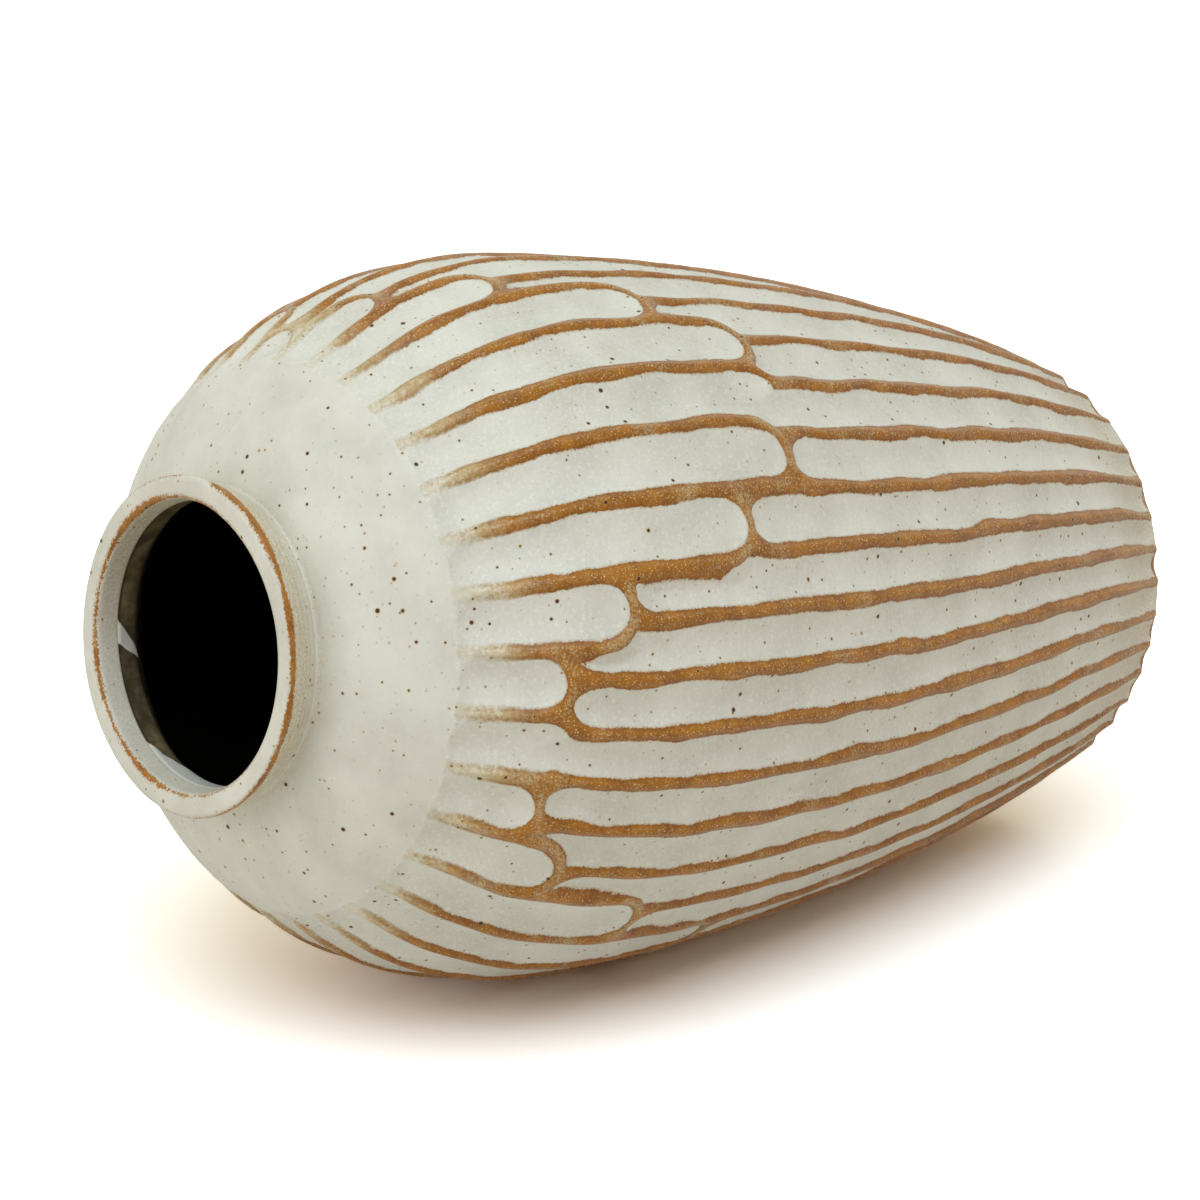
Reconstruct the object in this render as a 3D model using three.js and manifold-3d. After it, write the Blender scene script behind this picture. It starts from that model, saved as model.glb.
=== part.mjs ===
// Stoneware vase: a round, high-shouldered body on a foot ring, with a short collar round the mouth
// and two bands of long carved flutes. It is built as a potter builds it, from sections thrown one by
// one, bevelled at their edges, luted together with slip and then carved and fired as one body.
// Millimetres, +Z up through the mouth, origin at the centre of the foot's underside.
import * as THREE from "three";
import { mergeVertices } from "three/addons/utils/BufferGeometryUtils.js";
import Module from "manifold-3d";

// Overall heights, from the table that the vase stands on
const height = 260;
const bellyHeight = 171.4; // widest point, where the two halves of the wall are luted
const footSeamHeight = 13; // where the lower wall meets the foot ring

// Collar round the mouth
const lipRadius = 37.8;
const boreRadius = 32.4;
const collarHeight = 10;
const collarBaseRadius = 34.7; // the collar narrows to this where it meets the shoulder
const throatDepth = 5.6; // lip down to the joint line that shows inside the mouth
const throatRadius = 31.8;
const lipRounding = 0.9;
const collarSwell = 0.5; // roundness of the collar's side

// Outline of the body, as two curves that meet at the belly
const bellyRadius = 83.8;
const footRadius = 52.8;
const shoulderReach = 19.3; // length of the flat stretch beside the collar
const shoulderDrop = 5; // fall of that stretch
const shoulderFullness = 51.6; // how high the roundness of the shoulder is carried above the belly
const flankFullness = 35.3; // how far the roundness is carried below the belly
const ankleFlare = 21.9; // lean of the flank just above the foot
const ankleRise = 60.6;

// Walls, floor and foot
const domeWall = 5.5;
const bodyWall = 6.8;
const floorThickness = 7.5;
const footRingWidth = 9;
const footRecess = 6; // depth of the hollow under the floor
const footBevel = 1.2; // turned edge, inside and outside the ring's resting face
const floorDishRise = 1.5; // the floor's edge is raised by this much
const floorDishRun = 9; // over this far in from the wall
const floorEdgeWidth = 3;

// Seams between the sections
const seamGap = 0.3; // fired slip line, left open
const seamBevel = 3; // height of the slanting face that one section rests on
const seamLand = 2.5; // width of the square edge outside it, deeper than the flutes

// Carved flutes
const upperFlutes = 32;
const lowerFlutes = 38;
const fluteDepth = 1.5;
const domeDrop = 17; // fall from the collar's base to the turned line where the flutes begin
const fluteFootMargin = 2.5; // plain band left above the foot's resting face
const ridgeDepth = 0.15; // the ridges between flutes lie this far inside the thrown surface
const upperFirstRidge = -14.9; // bearings in degrees, from +X towards +Y
const lowerFirstRidge = -11.5;
const upperDrift = 0.9; // the carver's hand strays by this many degrees, twice round the vase
const lowerDrift = 2.6;
const upperDriftBearing = -73;
const lowerDriftBearing = 21;
const strokeEnd = 16; // length over which a gouge stroke runs out at the middle of the wall
const strokeTip = 9; // the same at the top of the upper flutes and at the foot
const strokeWeb = 2; // clay left between an upper stroke and the lower one that takes over
const waveDepth = 80; // the strokes take over on a wavy line, on average this far below the lip
const waveSwing = 36; // rise and fall of that line
const waveCrests = 3;
const waveBearing = -53; // bearing of its lowest point

// Fineness of the facets
const bodyTurns = 48; // facets round the body
const mouthTurns = 64; // facets round the mouth and the floor
const shoulderStep = 19; // length of a facet down the shoulder
const flankStep = 47; // length of a facet down the flank
const leastStep = 9; // no facet is shorter than this, save at a stroke's end
const cutFacets = 3; // facets across a flute
const tipFacets = 2; // facets in the rounded end of a stroke
const gougeClearance = 2; // a stroke's solid stands this far outside the wall
const gougeOverlap = 0.3; // neighbouring strokes run into each other by this much at the ridge
const lipFacets = 2; // facets round a corner of the lip
const weld = 0.01; // corners nearer than this become one when solids are cut
const sameCorner = 1e-4; // copies of one corner differ by less than this
const halvings = 40; // of the outline, in a search for a height on it

const wasm = await Module();
wasm.setup();

const collarBase = height - collarHeight;
const degrees = Math.PI / 180;
const at = (radius, z) => new THREE.Vector2(radius, z);

// Outline of the body from the collar's base down to the foot, measured by distance along it.
const outline = new THREE.CurvePath();
outline.add(
  new THREE.CubicBezierCurve(
    at(collarBaseRadius, collarBase),
    at(collarBaseRadius + shoulderReach, collarBase - shoulderDrop),
    at(bellyRadius, bellyHeight + shoulderFullness),
    at(bellyRadius, bellyHeight),
  ),
);
outline.add(
  new THREE.CubicBezierCurve(
    at(bellyRadius, bellyHeight),
    at(bellyRadius, bellyHeight - flankFullness),
    at(footRadius + ankleFlare, ankleRise),
    at(footRadius, 0),
  ),
);
const outlineLength = outline.getLength();

function outlinePoint(distance) {
  return outline.getPoint(THREE.MathUtils.clamp(distance / outlineLength, 0, 1));
}

function outwardNormal(distance) {
  const tangent = outline.getTangent(THREE.MathUtils.clamp(distance / outlineLength, 0, 1));
  return at(-tangent.y, tangent.x);
}

// Distance along the outline at which it has come down to a height.
function distanceAt(z) {
  let above = 0;
  let below = outlineLength;
  for (let halving = 0; halving < halvings; halving += 1) {
    const middle = (above + below) / 2;
    if (outlinePoint(middle).y > z) above = middle;
    else below = middle;
  }
  return (above + below) / 2;
}

const seams = {
  fluteStart: distanceAt(collarBase - domeDrop),
  belly: distanceAt(bellyHeight),
  foot: distanceAt(footSeamHeight),
  ground: outlineLength,
};

// Distances at which the outline has a facet's edge: close together on the round shoulder, further
// apart on the flank. Every wall and every flute turns at these.
const levels = [];
for (let level = 0; level < outlineLength; level += level < seams.belly ? shoulderStep : flankStep) {
  levels.push(level);
}

function levelsBetween(from, to) {
  return [from, ...levels.filter((level) => level > from + leastStep && level < to - leastStep), to];
}

// Points down the outer face between two distances. Given wall thicknesses, the points lie on the
// inner face instead, and the wall changes evenly from the first thickness to the second.
function face(from, to, wallFrom = 0, wallTo = wallFrom) {
  return levelsBetween(from, to).map((distance) => {
    const wall = THREE.MathUtils.mapLinear(distance, from, to, wallFrom, wallTo);
    return outlinePoint(distance).addScaledVector(outwardNormal(distance), -wall);
  });
}

// Closed mesh of a profile turned about the vase's axis. The profile runs counter-clockwise, seen
// with the radius to the right and the height upwards, and closes on itself unless it is on the axis.
function turned(profile, turns = bodyTurns) {
  const closed = profile[0].x > 0 ? [...profile, profile[0].clone()] : profile;
  return new THREE.LatheGeometry(closed, turns).rotateX(Math.PI / 2);
}

function toSolid(geometry) {
  const bare = geometry.clone();
  bare.deleteAttribute("normal");
  bare.deleteAttribute("uv");
  const merged = mergeVertices(bare, sameCorner);
  return new wasm.Manifold(
    new wasm.Mesh({
      numProp: 3,
      vertProperties: new Float32Array(merged.attributes.position.array),
      triVerts: new Uint32Array(merged.index.array),
      tolerance: weld,
    }),
  );
}

function toGeometry(solid) {
  const mesh = solid.getMesh();
  const geometry = new THREE.BufferGeometry();
  geometry.setAttribute("position", new THREE.BufferAttribute(mesh.vertProperties, 3));
  geometry.setIndex(new THREE.BufferAttribute(mesh.triVerts, 1));
  geometry.computeVertexNormals();
  return geometry;
}

// Height at which the upper strokes end and the lower ones take over.
function takeoverHeight(bearing) {
  const swing = Math.cos(waveCrests * (bearing - waveBearing) * degrees);
  return height - waveDepth - waveSwing * swing;
}

// Bearing of a ridge between two flutes: evenly spaced, but for the drift of the carver's hand.
function ridgeBearing(index, count, first, drift, driftBearing) {
  const even = first + (360 * index) / count;
  return even + drift * Math.cos(2 * (even - driftBearing) * degrees);
}

// Stations of one stroke as distances down the outline, each with the share of the full depth that
// the gouge has there. Both ends are round, like the end of a spoon, and shorter on a short stroke.
function strokeStations(from, to, fromEnd, toEnd) {
  const squeeze = Math.min(1, (to - from) / (fromEnd + toEnd + leastStep));
  const fullFrom = from + fromEnd * squeeze;
  const fullTo = to - toEnd * squeeze;
  const roundEnd = Array.from({ length: tipFacets }, (_, step) => {
    const back = Math.cos((step / tipFacets) * (Math.PI / 2));
    return [1 - back, 1 - back ** 2];
  });
  return [
    ...roundEnd.map(([run, share]) => [THREE.MathUtils.lerp(from, fullFrom, run), share]),
    ...levelsBetween(fullFrom, fullTo).map((level) => [level, 1]),
    ...roundEnd.reverse().map(([run, share]) => [THREE.MathUtils.lerp(to, fullTo, run), share]),
  ];
}

// Solid that a round-nosed gouge takes out of the wall in one stroke down the outline, from one point
// to another. At its full depth it just runs into its neighbours.
function gougeStroke(left, right, stations) {
  const positions = [];
  for (const [distance, share] of stations) {
    const point = outlinePoint(distance);
    const normal = outwardNormal(distance);
    const edgeDepth = share === 1 ? ridgeDepth : 0;
    const place = (across, rise) => {
      const spot = point.clone().addScaledVector(normal, rise);
      const overlap = across * (gougeOverlap / spot.x);
      const bearing = THREE.MathUtils.lerp(left, right, (1 + across * Math.sqrt(share)) / 2);
      const angle = bearing * degrees + overlap;
      positions.push(spot.x * Math.cos(angle), spot.x * Math.sin(angle), spot.y);
    };
    if (share === 0) {
      place(0, 0);
      continue;
    }
    place(1, gougeClearance);
    place(-1, gougeClearance);
    for (let cut = 0; cut <= cutFacets; cut += 1) {
      const across = -1 + (2 * cut) / cutFacets;
      place(across, -edgeDepth - (fluteDepth - ridgeDepth) * share * (1 - across ** 2));
    }
  }
  const ring = cutFacets + 3;
  const middle = 2 + cutFacets / 2; // the facets of the two halves mirror each other
  const lastPoint = positions.length / 3 - 1;
  const lastRing = lastPoint - ring;
  const indices = [];
  for (let corner = 0; corner < ring; corner += 1) {
    const next = (corner + 1) % ring;
    indices.push(0, 1 + next, 1 + corner);
    indices.push(lastPoint, lastRing + corner, lastRing + next);
    for (let start = 1; start < lastRing; start += ring) {
      const a = start + corner;
      const b = start + next;
      if (corner < middle) indices.push(a, b, b + ring, a, b + ring, a + ring);
      else indices.push(a, b, a + ring, b, b + ring, a + ring);
    }
  }
  const geometry = new THREE.BufferGeometry();
  geometry.setAttribute("position", new THREE.Float32BufferAttribute(positions, 3));
  geometry.setIndex(indices);
  return toSolid(geometry);
}

// One band of flutes: a stroke between each pair of neighbouring ridges.
function fluteBand(count, first, drift, driftBearing, stationsAt) {
  return Array.from({ length: count }, (_, index) => {
    const left = ridgeBearing(index, count, first, drift, driftBearing);
    const right = ridgeBearing(index + 1, count, first, drift, driftBearing);
    return gougeStroke(left, right, stationsAt((left + right) / 2));
  });
}

const upperBand = fluteBand(
  upperFlutes,
  upperFirstRidge,
  upperDrift,
  upperDriftBearing,
  (bearing) => {
    const end = distanceAt(takeoverHeight(bearing)) - strokeWeb / 2;
    return strokeStations(seams.fluteStart, end, strokeTip, strokeEnd);
  },
);
const lowerBand = fluteBand(
  lowerFlutes,
  lowerFirstRidge,
  lowerDrift,
  lowerDriftBearing,
  (bearing) => {
    const start = distanceAt(takeoverHeight(bearing)) + strokeWeb / 2;
    return strokeStations(start, seams.ground - fluteFootMargin, strokeEnd, strokeTip);
  },
);
const carving = [...upperBand, ...lowerBand].reduce((all, stroke) => all.add(stroke));

function carved(geometry) {
  return toGeometry(toSolid(geometry).subtract(carving));
}

// Inner corner of a section's square edge.
function landPoint(distance) {
  return outlinePoint(distance).addScaledVector(outwardNormal(distance), -seamLand);
}

// Wall section between two seams. At each seam the section above rests on a square edge and, inside
// that, on a face that slants down towards the inside. The two stand apart by the slip line.
function wallSection(top, bottom) {
  const from = top + seamGap / 2;
  const to = bottom - seamGap / 2;
  const inner = face(from + seamBevel, to + seamBevel, bodyWall);
  return turned([...inner, landPoint(to), ...face(from, to).reverse(), landPoint(from)]);
}

// The underside of the collar is a cone that sits on the rim of the dome.
const seatSlope = (collarHeight - throatDepth) / (collarBaseRadius - throatRadius);

function seatHeight(radius) {
  return height - throatDepth - seatSlope * (radius - throatRadius);
}

// Thrown ring with a flat lip, rounded at both corners. Its joint with the dome shows inside the
// mouth as a fine line.
function collarGeometry() {
  const corner = (centre, from) =>
    Array.from({ length: lipFacets + 1 }, (_, step) => {
      const angle = from + (step / lipFacets) * (Math.PI / 2);
      const rise = lipRounding * Math.sin(angle) - lipRounding;
      return at(centre + lipRounding * Math.cos(angle), height + rise);
    });
  const profile = [
    at(throatRadius, seatHeight(throatRadius)),
    at(collarBaseRadius, collarBase),
    at((collarBaseRadius + lipRadius) / 2 + collarSwell, collarBase + collarHeight / 2),
    ...corner(lipRadius - lipRounding, 0),
    ...corner(boreRadius + lipRounding, Math.PI / 2),
  ];
  return turned(profile, mouthTurns);
}

// Smooth dome between the collar and the flutes, with the throat through its middle.
function domeGeometry() {
  const bottom = seams.fluteStart - seamGap / 2;
  const seatDrop = seamGap * Math.hypot(1, seatSlope);
  const rim = collarBaseRadius - seamGap;
  const inner = face(domeWall, bottom + seamBevel, domeWall, bodyWall);
  const profile = [
    at(throatRadius, seatHeight(throatRadius) - seatDrop),
    at(throatRadius, inner[0].y),
    ...inner,
    landPoint(bottom),
    ...face(seamGap, bottom).reverse(),
    at(rim, seatHeight(rim) - seatDrop),
  ];
  return turned(profile, mouthTurns);
}

// Ring that the vase stands on. It carries the lower wall on its slanting top, and the floor on a
// ledge inside it.
const footTop = seams.foot + seamGap / 2;
const footInnerTop = face(footTop + seamBevel, seams.ground, bodyWall)[0];
const footInnerRadius = footRadius - footRingWidth;

function footGeometry() {
  return turned([
    footInnerTop,
    at(footInnerTop.x, footRecess),
    at(footInnerRadius, footRecess),
    at(footInnerRadius, footBevel),
    at(footInnerRadius + footBevel, 0),
    at(footRadius - footBevel, 0),
    ...face(footTop, seams.ground - footBevel).reverse(),
    landPoint(footTop),
  ]);
}

// Floor disc, dished on top so that it runs up into the wall.
function floorGeometry() {
  const edge = footInnerTop.x - seamGap;
  const underside = footRecess + seamGap;
  const top = underside + floorThickness;
  const profile = [
    at(0, underside),
    at(edge, underside),
    at(edge, top + floorDishRise),
    at(edge - floorEdgeWidth, top + floorDishRise),
    at(edge - floorDishRun, top),
    at(0, top),
  ];
  return turned(profile, mouthTurns);
}

const glazed = { color: "#d5d2c6", roughness: 0.42, metalness: 0 };
const glazedShade = { color: "#c9c5b7", roughness: 0.42, metalness: 0 };
const bareClay = { color: "#b98f6a", roughness: 0.85, metalness: 0 };

const vase = new THREE.Group();
function addPiece(name, geometry, finish) {
  const piece = new THREE.Mesh(geometry, new THREE.MeshStandardMaterial(finish));
  piece.name = name;
  vase.add(piece);
}
addPiece("foot_ring", carved(footGeometry()), bareClay);
addPiece("floor_disc", floorGeometry(), bareClay);
addPiece("lower_wall", carved(wallSection(seams.belly, seams.foot)), glazed);
addPiece("upper_wall", carved(wallSection(seams.fluteStart, seams.belly)), glazed);
addPiece("shoulder_dome", carved(domeGeometry()), glazed);
addPiece("neck_collar", collarGeometry(), glazedShade);

export default vase;
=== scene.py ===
import math
from functools import partial

import bpy
import numpy as np
from mathutils import Matrix, Vector


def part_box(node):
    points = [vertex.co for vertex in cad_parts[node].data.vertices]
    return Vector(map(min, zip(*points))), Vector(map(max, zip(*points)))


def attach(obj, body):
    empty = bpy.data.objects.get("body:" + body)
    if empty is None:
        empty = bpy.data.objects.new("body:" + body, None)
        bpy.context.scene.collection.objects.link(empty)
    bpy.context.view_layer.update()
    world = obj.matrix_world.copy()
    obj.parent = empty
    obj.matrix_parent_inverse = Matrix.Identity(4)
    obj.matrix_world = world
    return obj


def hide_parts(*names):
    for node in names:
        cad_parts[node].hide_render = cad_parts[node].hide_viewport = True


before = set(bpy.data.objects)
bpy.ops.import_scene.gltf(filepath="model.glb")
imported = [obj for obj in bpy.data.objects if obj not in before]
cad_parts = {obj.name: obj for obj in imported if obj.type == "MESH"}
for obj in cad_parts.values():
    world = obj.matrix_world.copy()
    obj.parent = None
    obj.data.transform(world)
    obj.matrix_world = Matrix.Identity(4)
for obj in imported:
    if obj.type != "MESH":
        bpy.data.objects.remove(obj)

bl_info = {
    "name": "Fluted Stoneware Vase",
    "version": (1, 0, 0),
    "blender": (4, 5, 0),
    "location": "View3D > Sidebar > Vase",
    "description": "Builds the carved and glazed surface of a stoneware vase, section by section",
    "category": "Object",
}

MM = 0.001
collar_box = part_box("neck_collar")

# Thrown form, in millimetres, that the frame's boxes don't give
BELLY_HEIGHT = 171.4
FOOT_SEAM_HEIGHT = 13.0
BORE_RADIUS = 32.4
COLLAR_BASE_RADIUS = 34.7
THROAT_DEPTH = 5.6
THROAT_RADIUS = 31.8
THROAT_END = 10.6
THROAT_FLARE = 3.5
LIP_ROUNDING = 0.9
COLLAR_SWELL = 0.5
# Curves of the outline: how far their handles reach along it at the shoulder, belly and ankle
SHOULDER_REACH = 19.3
SHOULDER_DROP = 5.0
SHOULDER_FULLNESS = 51.6
FLANK_FULLNESS = 35.3
ANKLE_FLARE = 21.9
ANKLE_RISE = 60.6
# Walls, foot and floor
DOME_WALL = 5.5
BODY_WALL = 6.8
FOOT_RADIUS = 52.8
FOOT_RING_WIDTH = 9.0
FOOT_RECESS = 6.0
FOOT_BEVEL = 1.2
FLOOR_THICKNESS = 7.5
FLOOR_DISH_RISE = 1.5
FLOOR_DISH_RUN = 9.0
# Corner between the wall and the raised edge of the floor, and where the two pieces part in it
FLOOR_CORNER_RUN, FLOOR_CORNER_RISE = 3.0, 1.0
FLOOR_PARTING_RISE = 0.5
# Depth of the ridges below the thrown form
RIDGE_DEPTH = 0.15
# Ribs that the ridges make where the thick glaze stops short of them: height, half width, and how
# far below the dome's edge they reach their full height
RIB_HEIGHT, RIB_HALF, RIB_RISE = 0.35, 2.3, 9.0
# Throwing rings on the collar
RING_HEIGHT, RING_SPACING = 0.05, 1.7

# Unevenness of hand work: seed, waves round the vase, lengths of a wave along it, and amount
RIDGE_WAVER = (5, range(3, 24, 2), (23, 31, 47, 60), 0.8)
WALL_WAVER = (11, (1, 2, 3, 2, 5), (400, 230, 310), 0.35)
INSIDE_WAVER = (12, (2, 3, 5), (150, 90), 0.3)
TONGUE_WAVER = (21, (7, 13, 29, 41), (9, 15), 0.9)

# Carving. The first ridge of each band and the slow drift of its ridges are in degrees.
DOME_DROP = 17.0
DOME_LAP, DOME_RUN = 1.0, 7.0
UPPER_FIRST_RIDGE = 14.9
LOWER_FIRST_RIDGE = 11.5
UPPER_DRIFT, UPPER_DRIFT_BEARING = 0.9, -17.0
LOWER_DRIFT, LOWER_DRIFT_BEARING = 2.6, 69.0
# Turn of the lower ridges towards the foot, in degrees, and the height at which it starts
FOOT_TWIST, FOOT_TWIST_FROM = -3.5, 120.0
# How far past the ground's edge the lower strokes run, drawn for each
FOOT_RUN_OUT, FOOT_SEED = (-1.0, 5.0), 3
# Wavy line where the strokes take over, as depth below the lip
WAVE_DEPTH, WAVE_SWING, WAVE_CRESTS, WAVE_BEARING = 80.0, 36.0, 3, 53.0
# Depth below the lip at which each upper stroke gives way to the lower ones, counted from two
# strokes before the first ridge. None is a flute that runs on without a break.
SEEN_TAKEOVERS = (35, 48, 69, 101, 121, None, 115, 96, 61, 47, None, 45, 55, 84, 117)
UNSEEN_RUN_ONS = (17, 24)
RUN_ON, RUN_ON_LAP = 25.0, 4.0
# How much faster the glaze closes over at a stroke's end than along its sides
END_COVER = 1.2
# Share of its width by which a lower stroke has to meet an upper one to start beside it
LEAST_MEETING = 0.3
# Rise of a lower stroke's floor beside an upper stroke, and how near that one's end it is a web
WEB_SLOPE, WEB_END = 0.28, (5.0, 11.0)
# Distance outside the strokes over which a web turns from khaki to ochre
WEB_BORDER = (-2.2, -0.4)
# The ochre is narrower next to the dome and at the foot: from and to, past the dome's edge or the
# ground, and by how much. At the foot it is also hazy.
NEAR_DOME, DOME_NARROWING = (-2.0, 13.0), 0.6
NEAR_FOOT, FOOT_NARROWING, FOOT_HAZE = (-28.0, -4.0), 0.7, 0.6
FAR_OUT = -9.0

# Half width of the ochre line along the lip's outer and inner corner, by bearing
LIP_LINE = 0.9
OUTER_LINE = ((-170, 0.6), (-120, 0.3), (-60, 0.3), (-30, 0.5), (3, 0.7), (7, -0.5), (16, -0.5),
              (21, 0.8), (60, 0.9), (100, 1.1), (145, 0.9), (170, 0.7))
INNER_LINE = ((-165, 0.35), (-130, 0.5), (-90, 0.6), (-60, 0.6), (-20, 0.7), (5, 0.4), (30, 0.0),
              (45, 0.2), (70, -0.2), (130, -0.2), (160, 0.1))
OUTER_LINE_DROP = 0.2
# How brown the glaze is inside the mouth, by bearing
BORE_STAIN = ((-90, 0.6), (-60, 1.0), (0, 1.1), (60, 0.8), (180, 0.45))
# Haze on the collar's side: the run over which it comes in below the lip's corner, and how far
# below the corner it starts to fade towards the crease
HAZE_RUN, HAZE_FADE = 2.0, 3.0
# Haze on the dome below the crease, how far it reaches, and the painted shade in the crease itself
DOME_HAZE, DOME_HAZE_REACH, CREASE_HAZE = 0.25, 6.0, 0.6
# Tongues of cream glaze that ran into the throat: bearing, half width in degrees and length
TONGUES = ((-85.0, 5.0, 6.5), (-162.0, 29.0, 9.0), (35.0, 10.0, 6.0), (95.0, 16.0, 4.0))
# Their thickness, their lean in degrees a millimetre, and how blunt they are
TONGUE_LIFT, TONGUE_LEAN, TONGUE_BLUNTNESS = 0.35, 1.7, 1.4
# Rounding of a tongue's edge and of its start, and the least length that is ragged
TONGUE_EDGE, TONGUE_START, TONGUE_LEAST = (-0.3, 0.5), 0.6, 0.3

# Fineness of the meshes
COLUMNS = 600
BEARINGS = np.arange(COLUMNS) * 360 / COLUMNS
COLLAR_ROW, THROAT_ROW, DOME_ROW, WALL_ROW, FOOT_ROW = 0.4, 0.5, 0.8, 1.2, 0.6
INNER_ROW, FLOOR_ROW = 6.0, 2.0
THROAT_LENGTH = 14.0
CORNER_POINTS = 5
PROFILE_STEP = 0.1
GLAZE_ROUNDING, LINER_ROUNDING = 0.45, 1.0
NORMAL_STEP, MEAN_RADIUS = 0.25, 60
AXIS_GAP = 2.0
# Edge mark of what lies outside every stroke
UNMARKED = 9.0
# Strip beside the ground that is wiped clean of glaze
WIPED_EDGE = 0.6

# Noises in the glaze: size of a cell in millimetres, detail and roughness
GRAIN, COVER, SALT = (0.9, 3, 0.7), (12, 3, 0.65), (0.55, 2, 0.6)
CLOUDS, STREAKS = (18, 3, 0.6), (5, 3, 0.7)
# Other patterns of the surfaces: size of a cell in millimetres
STRAW_SPOTS, STRAW_STIRRING = 0.55, 0.9
LINER_CLOUDS, TOAST, GROG, FIBRES = 5, 16, 1.1, 2
# How far in metres the straw spots are stirred
STRAW_REACH = 0.7 * MM
# Iron specks: spacing, least radius and spread of the radii in millimetres, colour, and stain
SPECKS = ((3.4, 0.04, 0.48, "iron", 0.75), (2.1, 0.03, 0.28, "speck", 0.5))
# Heights in metres over which the ridges below the dome ripen from khaki to ochre, and by how
# much two of the noises raise them
RIPENING = (0.2525, 0.2335)
RIPE_BY_COVER, RIPE_BY_GRAIN = 0.02, 0.016

# Camera that the photograph was taken with, in the vase's frame, in millimetres
CAMERA_PLACE = (58.8, -878.0, 915.5)
CAMERA_RIGHT = (-0.0552, -0.6642, -0.7456)
CAMERA_UP = (0.9973, 0.0, -0.0738)
CAMERA_LENS, CAMERA_SENSOR = 150, 36
# The camera's clipping and half the side of the floor, in metres
CAMERA_CLIP = (0.05, 50)
FLOOR_HALF = 4.0
# Sun's direction across the view and towards the camera, for 1 upwards
KEY_ACROSS, KEY_TOWARDS = 0.06, 0.55
# Softbox from the belly, in metres: across, towards the camera and up, and its size
SOFTBOX_ACROSS, SOFTBOX_TOWARDS, SOFTBOX_UP = -1.1, 0.6, 0.5
SOFTBOX_SIZE = (0.9, 0.7)
# Upward part of a direction over which the room turns from the horizon's colour to the ceiling's
ROOM_FADE = (0.25, 0.85)

# Settings that many nodes share
COLOURS = {"output": 2, "data_type": "RGBA"}
SMOOTH = {"interpolation_type": "SMOOTHSTEP"}
TIMES, TIMES_PLUS = {"operation": "MULTIPLY"}, {"operation": "MULTIPLY_ADD"}


def linear(hex_colour):
    """sRGB hex as the linear colour that a socket takes."""
    channels = [int(hex_colour[i:i + 2], 16) / 255 for i in (1, 3, 5)]
    channels = [c / 12.92 if c <= 0.04045 else ((c + 0.055) / 1.055) ** 2.4 for c in channels]
    return (*channels, 1.0)


def hex_property(name, description, colour):
    """Colour property whose default is an sRGB hex value."""
    return bpy.props.FloatVectorProperty(
        name=name, description=description, subtype="COLOR", size=4, min=0, max=1,
        default=linear(colour))


def number_property(name, description, default, **kind):
    return bpy.props.FloatProperty(name=name, description=description, default=default, **kind)


length_property = partial(number_property, unit="LENGTH")


class VaseForm(bpy.types.PropertyGroup):
    height: length_property("Height", "From the foot to the lip", collar_box[1].z)
    lip_radius: length_property(
        "Lip radius", "Radius of the outer corner of the lip", collar_box[1].x)
    collar_height: length_property(
        "Collar height", "From the crease at the shoulder to the lip",
        collar_box[1].z - collar_box[0].z)
    belly_radius: length_property("Belly radius", "Greatest radius, over the ridges", 83.8 * MM)


class VaseCarving(bpy.types.PropertyGroup):
    upper_flutes: bpy.props.IntProperty(
        name="Upper flutes", description="Gouge strokes round the shoulder", default=32)
    lower_flutes: bpy.props.IntProperty(
        name="Lower flutes", description="Gouge strokes round the flank", default=38)
    depth: length_property("Flute depth", "Depth of a stroke at its middle", 1.75 * MM)
    web: length_property(
        "Web", "Clay left between an upper stroke and the lower one after it", 0.5 * MM)
    stroke_end: length_property("Stroke end", "Length of a stroke's rounded end", 8.0 * MM)
    stroke_tip: length_property("Stroke tip", "Length of a stroke's end at the foot", 6.0 * MM)
    crest: number_property(
        "Crest", "Roundness of the ridges under the glaze, against their height", 0.18)


class VaseGlaze(bpy.types.PropertyGroup):
    cream: hex_property("Cream", "Thick glaze in the flutes and on the dome", "#D9DBD0")
    cream_light: hex_property("Light cream", "Milky spots in the glaze", "#ECEEE6")
    cream_shade: hex_property("Grey cream", "Cooler, thinner clouds in the glaze", "#C9CABE")
    ochre: hex_property("Ochre", "Thin glaze over iron clay, on the ridges", "#A66C10")
    rust: hex_property("Rust", "Where the glaze is thinnest", "#855008")
    khaki: hex_property("Khaki", "Half-thick glaze over the ridges and webs", "#B5A278")
    straw: hex_property("Straw", "Milky spots in the thin glaze", "#E3CF9A")
    young: hex_property("Young ochre", "Sides of the ridges next to the dome", "#B9A777")
    # This crest colour is a painted highlight along the crests of the ridges next to the dome.
    young_crest: hex_property("Young crest", "Crests of the ridges next to the dome", "#D2C79E")
    iron: hex_property("Iron", "Specks of iron that melted out of the clay", "#402C14")
    speck: hex_property("Small speck", "Specks too small to melt to black", "#685018")
    speck_halo: hex_property("Speck halo", "Stain round a speck", "#BE9650")
    inside: hex_property("Inside", "Olive brown liner glaze, thin in the throat", "#4A4230")
    # Painted shade deeper inside the vase and on its inside floor: near black over the olive liner.
    inside_deep: hex_property("Deep inside", "Liner glaze where it is thick", "#1E1A13")
    clay: hex_property("Clay", "Bare clay under the foot", "#B08D6C")
    toasted: hex_property("Toasted clay", "Where the kiln toasted the bare clay", "#94694A")


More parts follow.
